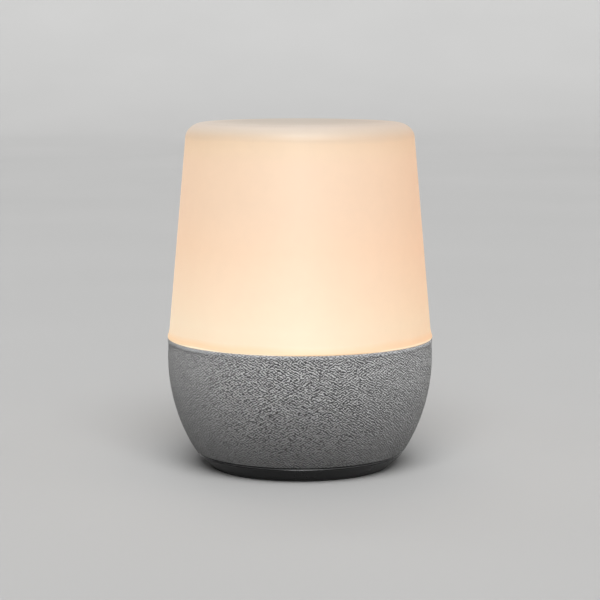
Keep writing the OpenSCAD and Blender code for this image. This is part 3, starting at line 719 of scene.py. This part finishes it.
def paint_frame():
    """Gives each CAD node the finish that the record names for it."""
    for part in frame["record"]["subparts"]:
        mesh = nodes[part["node"]].data
        mesh.materials.clear()
        mesh.materials.append(MATERIALS[part["material_slot"]])


# ---- shade
def make_shade():
    """The shade's shell: a lip that flares out, a tapered side and a round top edge."""
    slope = math.tan(math.radians(SHADE_TAPER))
    flare_high = SEAM + FLARE_H
    side_high = TOP - CORNER_H

    def side(z):
        return LIP_R - LIP_STEP - (z - SEAM) * slope

    lip = [(LIP_R + r, SEAM + z) for r, z in LIP_CURVE]
    tip = lip[-1][1]
    flare = []
    for t in spread(0.0, 1.0, 10)[1:]:
        z = tip + (flare_high - tip) * t
        flare.append((LIP_R + (side(z) - LIP_R) * (1.0 - (1.0 - t) ** 2), z))
    wall = [(side(z), z) for z in spread(flare_high, side_high, 44)[1:]]
    corner_r, corner_z = SHADE_CORNER
    cx = side(side_high) - corner_r * math.cos(math.radians(SHADE_TAPER))
    cz = side_high - corner_z * math.sin(math.radians(SHADE_TAPER))
    corner = arc(cx, cz, corner_r, SHADE_TAPER, 90.0, 20, corner_z)[1:]
    edge_r, edge_z = corner[-1]
    top = [(edge_r * t, edge_z + (TOP - edge_z) * (1.0 - t * t)) for t in spread(1.0, 0.0, 14)[1:]]

    t = SHADE_WALL
    roof = [(0.0, TOP - t), (edge_r, edge_z - t)]
    inner_corner = arc(cx, cz, corner_r - t, 90.0, SHADE_TAPER, 10, corner_z - t)[1:]
    inner_wall = [(side(z) - t, z) for z in spread(side_high - 1.0, flare_high, 12)]
    inner_lip = [(LIP_R - LIP_STEP - t, SEAM + 0.2), (LIP_R - LIP_STEP - 0.1 - t, SEAM)]
    outside = lip + flare + wall + corner + top
    inside_face = roof + inner_corner + inner_wall + inner_lip
    bm = bmesh.new()
    loft(bm, turned(outside + inside_face, 256), True)
    circle_r, boss_r, bore, height = SHADE_BOSS
    four_tubes(bm, circle_r, 45.0, tube(boss_r, bore, SEAM, SEAM + height))
    finish_mesh("opal_shade", bm, "shade_plastic", replaces=["shade"])


# ---- wrap
WINDOW = rounded(0.0, PANEL_Z, PANEL_W + 0.2, PANEL_H + 0.2, PANEL_CORNER + 0.1, 10, 1.5)
WINDOW_ROLL = 0.6
PATCH = 31.0               # half width of the stretch that is triangulated round the window


def wrap_columns():
    """Distances round the wrap from its rear seam, in mm at the bowl's widest."""
    half = math.pi * BOWL_R
    count = 240
    even = [half * (2.0 * i / count - 1.0) for i in range(count)]
    fine = [side * s for s, _ in SEAM_GROOVE[1:] for side in (-1.0, 1.0)]
    return sorted(even + fine)


def groove(s):
    """Depth of the seam's groove at distance s round the wrap, which must be one of its columns."""
    for distance, depth in SEAM_GROOVE:
        if abs(abs(s) - distance) < 1e-6:
            return depth
    return 0.0


def hem(z):
    """How far the folded upper edge of the wrap stands out from the bowl's face."""
    t = (z - (WRAP_HIGH - HEM_H)) / HEM_H
    return HEM_OUT * math.sin(math.pi * min(t, 0.5)) ** 2 if t > 0 else 0.0


def round_wrap(s, z, inset):
    """The point at distance s round the wrap and height z, moved in from the bowl's face."""
    a = s / BOWL_R
    r = bowl(z) + hem(z) - inset
    return (r * math.sin(a), r * math.cos(a), z)


def unrolled(points):
    """Points (x, z) of the bowl's back as distances round the wrap and heights."""
    return [(BOWL_R * math.asin(x / bowl(z)), z) for x, z in points]


class WrapFace:
    """One face of the wrap, with the window left open: rings, and a triangulated patch at the back."""

    def __init__(self, bm, columns, rows, inset, window, grooved):
        self.bm = bm
        self.columns = columns
        self.rows = rows
        self.inset = inset
        self.grooved = grooved
        self.verts = {}
        patch = [c for c, s in enumerate(columns) if abs(s) <= PATCH]
        self.quads(patch)
        self.window = self.fill(patch, window)
        self.bottom = [self.vert(c, 0) for c in range(len(columns))]
        self.top = [self.vert(c, len(rows) - 1) for c in range(len(columns))]

    def vert(self, column, row):
        key = (column, row)
        if key not in self.verts:
            s = self.columns[column]
            inset = self.inset + (groove(s) if self.grooved else 0.0)
            point = round_wrap(s, self.rows[row], inset)
            self.verts[key] = self.bm.verts.new(Vector(point) * MM)
        return self.verts[key]

    def quads(self, patch):
        count = len(self.columns)
        for c in range(count):
            d = (c + 1) % count
            if c in patch and d in patch:
                continue
            for row in range(len(self.rows) - 1):
                self.bm.faces.new((self.vert(c, row), self.vert(d, row),
                                   self.vert(d, row + 1), self.vert(c, row + 1)))

    def fill(self, patch, window):
        last = len(self.rows) - 1
        border = [(c, 0) for c in patch]
        border += [(patch[-1], row) for row in range(1, last)]
        border += [(c, last) for c in reversed(patch)]
        border += [(patch[0], row) for row in range(last - 1, 0, -1)]
        net = []
        for c in patch[1:-1]:
            for row in range(1, last):
                point = (self.columns[c], self.rows[row])
                if not inside(point, window) and clear_of(point, window, 0.5):
                    net.append((c, row))
        flat = [[(self.columns[c], self.rows[row]) for c, row in keys] for keys in (border, net)]
        points, faces, place = triangulate([flat[0], window], flat[1])
        keys = border + [None] * len(window) + net
        made = {}
        for source, index in place.items():
            if keys[source] is None:
                point = round_wrap(points[index].x, points[index].y, self.inset)
                made[index] = self.bm.verts.new(Vector(point) * MM)
            else:
                made[index] = self.vert(*keys[source])
        for face in faces:
            self.bm.faces.new([made[i] for i in face])
        start = len(border)
        return [made[place[start + i]] for i in range(len(window))]


def make_wrap():
    """The leather wrap: rolled edges above, below and round the window, and a seam at the back."""
    bm = bmesh.new()
    columns = wrap_columns()
    hem_low = WRAP_HIGH - HEM_H
    rows = spread(WRAP_LOW + WRAP_ROLL, hem_low, 32) + spread(hem_low, WRAP_HIGH - WRAP_ROLL, 6)[1:]
    window = unrolled(grown(WINDOW, WINDOW_ROLL))
    outer = WrapFace(bm, columns, rows, 0.0, window, True)
    inner = WrapFace(bm, columns, rows, WRAP_T, window, False)
    turns = 5
    for edge, face_out, face_in, sign in [(WRAP_HIGH, outer.top, inner.top, 1.0),
                                          (WRAP_LOW, outer.bottom, inner.bottom, -1.0)]:
        previous = face_out
        for k in range(1, turns + 1):
            a = math.radians(90.0 * k / turns)
            z = edge - sign * WRAP_ROLL * (1.0 - math.sin(a))
            inset = WRAP_ROLL * (1.0 - math.cos(a))
            ring = loop_of(bm, [round_wrap(s, z, inset + groove(s)) for s in columns])
            bridge(bm, previous, ring)
            previous = ring
        bridge(bm, previous, face_in)
    previous = outer.window
    for k in range(1, turns + 1):
        a = math.radians(90.0 * k / turns)
        points = unrolled(grown(WINDOW, WINDOW_ROLL * (1.0 - math.sin(a))))
        inset = WINDOW_ROLL * (1.0 - math.cos(a))
        ring = loop_of(bm, [round_wrap(s, z, inset) for s, z in points])
        bridge(bm, previous, ring)
        previous = ring
    bridge(bm, previous, inner.window)
    finish_mesh("leather_wrap", bm, "leather_wrap", replaces=["base_wrap"])


def thread_material():
    """Twisted dark thread."""
    n = Nodes("seam_thread")
    axes = n.add("ShaderNodeSeparateXYZ", {0: n.place})
    twist = n.math("ADD", axes.outputs["X"], n.math("MULTIPLY", axes.outputs["Z"], 0.8))
    ply = n.span(n.math("SINE", n.math("MULTIPLY", twist, 16000.0)), -1.0, 1.0)
    tone = n.ramp(ply, [(0.0, (0.02, 0.02, 0.021)), (1.0, (0.06, 0.06, 0.061))])
    return n.principled(
        Base_Color=tone, Roughness=n.span(ply, 0.0, 1.0, 0.8, 0.6), Normal=n.bump(ply, 0.6, 0.05))


def stitch(bm, s, low_z):
    """A short length of thread that comes up out of the wrap, arches over it and goes back in."""
    loops = []
    for t in spread(0.0, 1.0, 6):
        inset = THREAD_R - STITCH_RISE * math.sin(math.pi * t)
        size = THREAD_R * math.sin(math.pi * (0.12 + 0.76 * t)) ** 0.5
        x, y, z = round_wrap(s, low_z + STITCH_L * t, inset)
        loops.append([(x + size * math.cos(a), y + size * math.sin(a), z) for a in full_turn(8)])
    loft(bm, loops, caps=True)


def make_stitches():
    """Two rows of thread along the rear seam, above and below the window."""
    window_clear = PANEL_H / 2 + STITCH_CLEAR
    bm = bmesh.new()
    reach = [(WRAP_LOW + STITCH_CLEAR, PANEL_Z - window_clear),
             (PANEL_Z + window_clear, WRAP_HIGH - HEM_CLEAR)]
    for z_from, z_to in reach:
        count = int((z_to - z_from - STITCH_L) / STITCH_PITCH) + 1
        start = (z_from + z_to - (count - 1) * STITCH_PITCH - STITCH_L) / 2
        for k in range(count):
            for s in (-STITCH_OUT, STITCH_OUT):
                stitch(bm, s, start + k * STITCH_PITCH)
    finish_mesh("wrap_stitches", bm, "leather_wrap", material=thread_material())


# ---- foot
def make_foot():
    """The foot plate, with a recess for its pad, four posts, and a shinier rim under the bowl that
    carries a painted highlight.
    """
    recess_in = PAD_IN - PAD_SLACK
    recess_out = PAD_OUT + PAD_SLACK
    roof = FOOT_LOW + FOOT_RECESS
    under = [(0.0, FOOT_LOW), (recess_in - 0.25, FOOT_LOW), (recess_in, FOOT_LOW + 0.2),
             (recess_in, roof), (recess_out, roof), (recess_out, FOOT_LOW + 0.15)]
    bend = [(FOOT_R - 0.5, FOOT_LOW)]
    bend += arc(FOOT_R - 0.1, FOOT_LOW + FOOT_EDGE, FOOT_EDGE, -90.0, -42.0, 4)
    rim_low = FOOT_RIM_Z - FOOT_RIM_ROUND
    curve = []
    for t in spread(0.08, 0.94, 8):
        r = FOOT_R + (FOOT_RIM_R - FOOT_R) * t
        curve.append((r + FOOT_BELLY * math.sin(math.pi * t), FOOT_LOW + (rim_low - FOOT_LOW) * t))
    rim = arc(FOOT_RIM_R - FOOT_RIM_ROUND, rim_low, FOOT_RIM_ROUND, -8.0, 90.0, 10)
    inner = [(FOOT_RIM_R - FOOT_RIM_W, FOOT_RIM_Z), (FOOT_R - 0.9, FOOT_HIGH), (0.0, FOOT_HIGH)]
    bm = bmesh.new()
    loft(bm, turned(under + bend + curve + rim + inner, 224))
    four_tubes(bm, POST_R, 0.0, tube(*POST_SIZE, POST_LOW, POST_HIGH))
    foot = finish_mesh("foot", bm, "foot_plastic", replaces=["foot_plate"])

    # The rim catches the light: its faces get a shinier finish in a second slot, with a paler colour
    # that is a painted highlight
    rim_painted_highlight = satin_black("shiny_rim_painted_highlight", (0.07, 0.07, 0.071), (0.09, 0.09, 0.091), 1.0)
    foot.data.materials.append(rim_painted_highlight)
    rim_highlight_z = (FOOT_RIM_Z - 0.5) * MM
    rim_highlight_r = (FOOT_RIM_R - FOOT_RIM_W) * MM
    for face in foot.data.polygons:
        if face.center.z > rim_highlight_z and face.center.xy.length > rim_highlight_r:
            face.material_index = 1


def make_pad():
    """The rubber ring under the foot, with round edges and shallow grip ribs."""
    width = PAD_OUT - PAD_IN
    under = []
    for t in spread(0.0, 1.0, PAD_RIBS * 8):
        r = PAD_IN + PAD_ROUND + (width - 2 * PAD_ROUND) * t
        under.append((r, PAD_RIB_H / 2 * (1.0 - math.cos(2.0 * math.pi * PAD_RIBS * t))))
    outer = arc(PAD_OUT - PAD_ROUND, PAD_ROUND, PAD_ROUND, -80.0, 0.0, 4)
    inner = arc(PAD_IN + PAD_ROUND, PAD_ROUND, PAD_ROUND, 180.0, 260.0, 4)
    bm = bmesh.new()
    loft(bm, turned(under + outer + [(PAD_OUT, PAD_HIGH), (PAD_IN, PAD_HIGH)] + inner, 160), True)
    finish_mesh("rubber_pad", bm, "rubber", replaces=["foot_pad"])


# ---- rear panel and controls
def panel_holes():
    """The panel's openings: buttons, microphones, status light, inlet, audio socket and slider."""
    holes = [circle(x, BUTTON_Z, BUTTON_R + SLIP) for x in (-BUTTON_PITCH, 0.0, BUTTON_PITCH)]
    holes += [circle(x, PANEL_Z, MIC_R, 16) for x in (-MIC_X, MIC_X)]
    holes.append(circle(0.0, PANEL_Z, PIPE_R + PIPE_GAP, 20))
    inlet_w, inlet_h = [size + 2 * INLET_GAP for size in INLET]
    holes.append(rounded(0.0, PORT_Z, inlet_w, inlet_h, inlet_h / 2))
    holes.append(circle(AUX_X, PORT_Z, AUX_NOSE_R + AUX_GAP))
    slider_w, slider_h = [size + 2 * SLIP for size in SLIDER_SIZE]
    slot_x = SLIDER_X + SLIDER_TRAVEL / 2
    holes.append(rounded(slot_x, PORT_Z, slider_w + SLIDER_TRAVEL, slider_h, 1.0))
    return holes


def make_panel():
    """The rear panel, its flange inside the shell, and the two bosses that hold the button board."""
    bm = bmesh.new()
    holes = panel_holes()
    depth = PANEL_PROUD + PANEL_SKIN + PANEL_SUNK
    outline = rounded(0.0, PANEL_Z, PANEL_W, PANEL_H, PANEL_CORNER, 10)
    plate(bm, outline, holes, PANEL_PROUD, depth, rim=0.45, hole_rim=0.18)
    wider, taller, thick = PANEL_FLANGE
    flange = rounded(0.0, PANEL_Z, PANEL_W + wider, PANEL_H + taller, PANEL_CORNER, 10)
    plate(bm, flange, [widened(hole, FLANGE_GAP) for hole in holes], -PANEL_SKIN, thick)
    boss_x, boss_up = BOSS_AT
    for x in (-boss_x, boss_x):
        boss = tube(*BOSS_SIZE, BOARD_FACE_Y, BOSS_FACE_Y)
        loft(bm, turned_y(boss, 28, x, BUTTON_Z + boss_up), True)
    finish_mesh("rear_panel", bm, "panel_plastic", replaces=["control_panel"])


def bar(x, z, w, h):
    """The outline of a bar with round ends."""
    return rounded(x, z, w, h, min(w, h) / 2 - 0.01, 4, 0.4)


def ring_part(x, z, r, thick, a0, a1):
    """The outline of a part of a ring, as in the sign for power."""
    out = []
    for side, start, end in ((1.0, a0, a1), (-1.0, a1, a0)):
        reach = r + side * thick / 2
        for a in spread(start, end, 20):
            nx = math.cos(math.radians(a))
            nz = math.sin(math.radians(a))
            out.append((x + reach * nx, z + reach * nz, side * nx, side * nz))
    return out


def plus(x, z, size, thick):
    """The outline of a plus sign."""
    h = size / 2
    t = thick / 2
    arm = [(h, -t), (h, t), (t, t)]
    out = []
    for _ in range(4):
        for cx, cz in arm:
            length = math.hypot(cx, cz)
            out.append((x + cx, z + cz, cx / length, cz / length))
        arm = [(-cz, cx) for cx, cz in arm]
    return out


def make_buttons():
    """Three round caps, each with a stem behind it and a pale printed sign."""
    ink = plastic("sign_ink", (0.46, 0.46, 0.46), (0.54, 0.54, 0.54), 0.55, 1500.0, 0.02)
    bar_up, bar_long = POWER_BAR
    power = [ring_part(0.0, BUTTON_Z, SIGN / 2, POWER_LINE, 125.0, 415.0),
             bar(0.0, BUTTON_Z + bar_up, POWER_LINE, bar_long)]
    signs = {
        "power_button": (0.0, power),
        "volume_down_button": (BUTTON_PITCH, [bar(BUTTON_PITCH, BUTTON_Z, SIGN, SIGN_LINE)]),
        "volume_up_button": (-BUTTON_PITCH, [plus(-BUTTON_PITCH, BUTTON_Z, SIGN, SIGN_LINE)]),
    }
    stem_r = BUTTON_R - 0.2
    for body, (x, outlines) in signs.items():
        bm = bmesh.new()
        plate(bm, circle(x, BUTTON_Z, BUTTON_R, 48), [], BUTTON_PROUD, BUTTON_CAP, rim=0.5)
        # The stem's front end lies inside the cap, 1.5 mm behind where its face is lowest
        face_y = on_back(abs(x) + BUTTON_R, BUTTON_Z - BUTTON_R, -1.0)[1] - 1.5
        stem = [(0.0, BUTTON_BACK), (stem_r, BUTTON_BACK), (stem_r, face_y), (0.0, face_y)]
        loft(bm, turned_y(stem, 36, x, BUTTON_Z))
        finish_mesh(body + "_cap", bm, "button_plastic", body, [body])
        bm = bmesh.new()
        for outline in outlines:
            plate(bm, outline, [], BUTTON_PROUD + 0.03, 0.2, spacing=0.5)
        finish_mesh(body + "_sign", bm, "button_plastic", body, material=ink)


def make_slider():
    """The mute slider: a knob with three grip ribs on a carrier behind the panel."""
    bm = bmesh.new()
    knob = rounded(SLIDER_X, PORT_Z, *SLIDER_SIZE, 0.8)
    plate(bm, knob, [], SLIDER_PROUD, 10.0, rim=0.3, spacing=0.8)
    for x in (SLIDER_X - GRIP_PITCH, SLIDER_X, SLIDER_X + GRIP_PITCH):
        rib = bar(x, PORT_Z, *GRIP_SIZE)
        plate(bm, rib, [], SLIDER_PROUD + GRIP_PROUD, 0.5, rim=0.12, spacing=0.4)
    width, tall, back, front = CARRIER
    block(bm, rounded(SLIDER_X, PORT_Z, width, tall, 0.3, 3), back, front)
    finish_mesh("mute_knob", bm, "mute_plastic", "mute_slider", ["mute_slider"])


def make_inlet():
    """The charging inlet: a drawn steel mouth, its tongue, and two rows of gold contacts."""
    back, bottom, front = INLET_Y
    shell = rounded(0.0, PORT_Z, *INLET, INLET[1] / 2, 8, 0.8)
    lip = [(by, front + y) for by, y in INLET_LIP]
    bm = bmesh.new()
    loft(bm, stacked(shell, [(0.0, back)] + lip + [(-INLET_WALL, bottom)]), caps=True)
    width, tall, back, front = TONGUE
    tongue = rounded(0.0, PORT_Z, width, tall, 0.25, 4, 0.8)
    loft(bm, stacked(tongue, [(0.0, back), (0.0, front - 0.15), (-0.15, front)]), caps=True)
    finish_mesh("charging_inlet", bm, "steel", replaces=["usb_socket"])

    bm = bmesh.new()
    for k in range(12):
        x = CONTACT_PITCH * (k - 5.5)
        for z in (PORT_Z - CONTACT_ROW, PORT_Z + CONTACT_ROW):
            block(bm, rounded(x, z, *CONTACT_SIZE, 0.02, 1), back + 0.6, front - 0.4)
    finish_mesh("inlet_contacts", bm, "gold_metal")


def make_audio_socket():
    """The audio socket: a body on the board and a bored nose that fills the panel's hole."""
    width, tall, back, front = AUX_BOX
    bore_end = back + 2.1
    tip = AUX_NOSE_Y
    nose = [(AUX_NOSE_R, front - 0.8), (AUX_NOSE_R, tip - 0.25), (AUX_NOSE_R - 0.25, tip)]
    bore = [(AUX_R + 0.3, tip), (AUX_R, tip - 0.3), (AUX_R, bore_end), (AUX_NOSE_R, bore_end)]
    bm = bmesh.new()
    loft(bm, turned_y(nose + bore, 48, AUX_X, PORT_Z), True)
    block(bm, rounded(AUX_X, PORT_Z, width, tall, 0.3, 3), back, front)
    finish_mesh("audio_socket", bm, "black_plastic", replaces=["aux_socket"])


def make_light_pipe():
    """The status light: a clear rod with a domed end that is level with the panel."""
    face_y = on_back(0.0, PANEL_Z, PANEL_PROUD)[1]
    dome = [(PIPE_R + r, face_y + y) for r, y in PIPE_DOME]
    bm = bmesh.new()
    loft(bm, turned_y([(0.0, PIPE_BACK), (PIPE_R, PIPE_BACK)] + dome, 24, 0.0, PANEL_Z))
    finish_mesh("status_light", bm, "clear_plastic", replaces=["status_light_pipe"])


# ---- studio, in metres and degrees
FLOOR = (-8.0, 5.0, 7.0, 2.0, 9.0)      # front, back, height of the backdrop, bend and half width
CAMERA_PLACE = (0.0, -0.900, 0.1907)
CAMERA_TILT = 7.32                      # downwards
WORLD_LIGHT = 0.12
LIGHTS = [                              # name, direction seen from the object, strength, angle
    ("key", (0.04, -0.61, 0.79), 3.45, 44.0),
    ("overhead", (0.0, 0.15, 1.0), 0.35, 50.0),
    ("right_fill", (0.9, -0.35, 0.25), 0.5, 80.0),
    ("back_light", (-0.10, 0.70, 0.70), 1.1, 40.0),
    ("front_fill", (0.0, -1.0, 0.16), 0.7, 30.0),
]


def make_floor():
    """A pale floor that curves up into a plain backdrop behind."""
    front, back, height, bend, half_width = FLOOR
    bm = bmesh.new()
    profile = [(front, 0.0)] + arc(back - bend, bend, bend, -90.0, 0.0, 16) + [(back, height)]
    left = [bm.verts.new((-half_width, y, z)) for y, z in profile]
    right = [bm.verts.new((half_width, y, z)) for y, z in profile]
    for i in range(len(profile) - 1):
        bm.faces.new((left[i], right[i], right[i + 1], left[i + 1]))
    mesh = bpy.data.meshes.new("studio_floor")
    bm.to_mesh(mesh)
    bm.free()
    mesh.shade_smooth()
    n = Nodes("studio_paper")
    tone = n.ramp(n.noise(3.0), [(0.3, (0.395, 0.394, 0.391)), (0.7, (0.41, 0.409, 0.406))])
    mesh.materials.append(n.principled(Base_Color=tone, Roughness=0.8, Specular_IOR_Level=0.2))
    floor = bpy.data.objects.new("studio_floor", mesh)
    scene.collection.objects.link(floor)


def sun(name, towards, strength, angle):
    """A distant soft light that stands in a direction seen from the object."""
    data = bpy.data.lights.new(name, "SUN")
    data.energy = strength
    data.angle = math.radians(angle)
    light = bpy.data.objects.new(name, data)
    light.location = towards
    light.rotation_euler = (-Vector(towards)).to_track_quat("-Z", "Y").to_euler()
    scene.collection.objects.link(light)


def make_studio():
    make_floor()
    world = bpy.data.worlds.new("studio_world")
    world.use_nodes = True
    background = world.node_tree.nodes["Background"]
    background.inputs["Color"].default_value = (1.0, 1.0, 1.0, 1.0)
    background.inputs["Strength"].default_value = WORLD_LIGHT
    scene.world = world
    for light in LIGHTS:
        sun(*light)
    scene.view_settings.view_transform = "Standard"
    scene.view_settings.look = "None"
    scene.view_settings.exposure = 0.0
    scene.view_settings.gamma = 1.0


def make_camera():
    """The photograph's viewpoint: a long lens, a little above the object and tilted down to it."""
    data = bpy.data.cameras.new("camera")
    data.sensor_width = 36.0
    data.lens = 120.0
    data.clip_end = 50.0
    camera = bpy.data.objects.new("camera", data)
    camera.location = CAMERA_PLACE
    camera.rotation_euler = (math.radians(90.0 - CAMERA_TILT), 0.0, 0.0)
    scene.collection.objects.link(camera)
    scene.camera = camera


paint_frame()
make_shade()
make_wrap()
make_stitches()
make_foot()
make_pad()
make_panel()
make_buttons()
make_slider()
make_inlet()
make_audio_socket()
make_light_pipe()
make_studio()
make_camera()
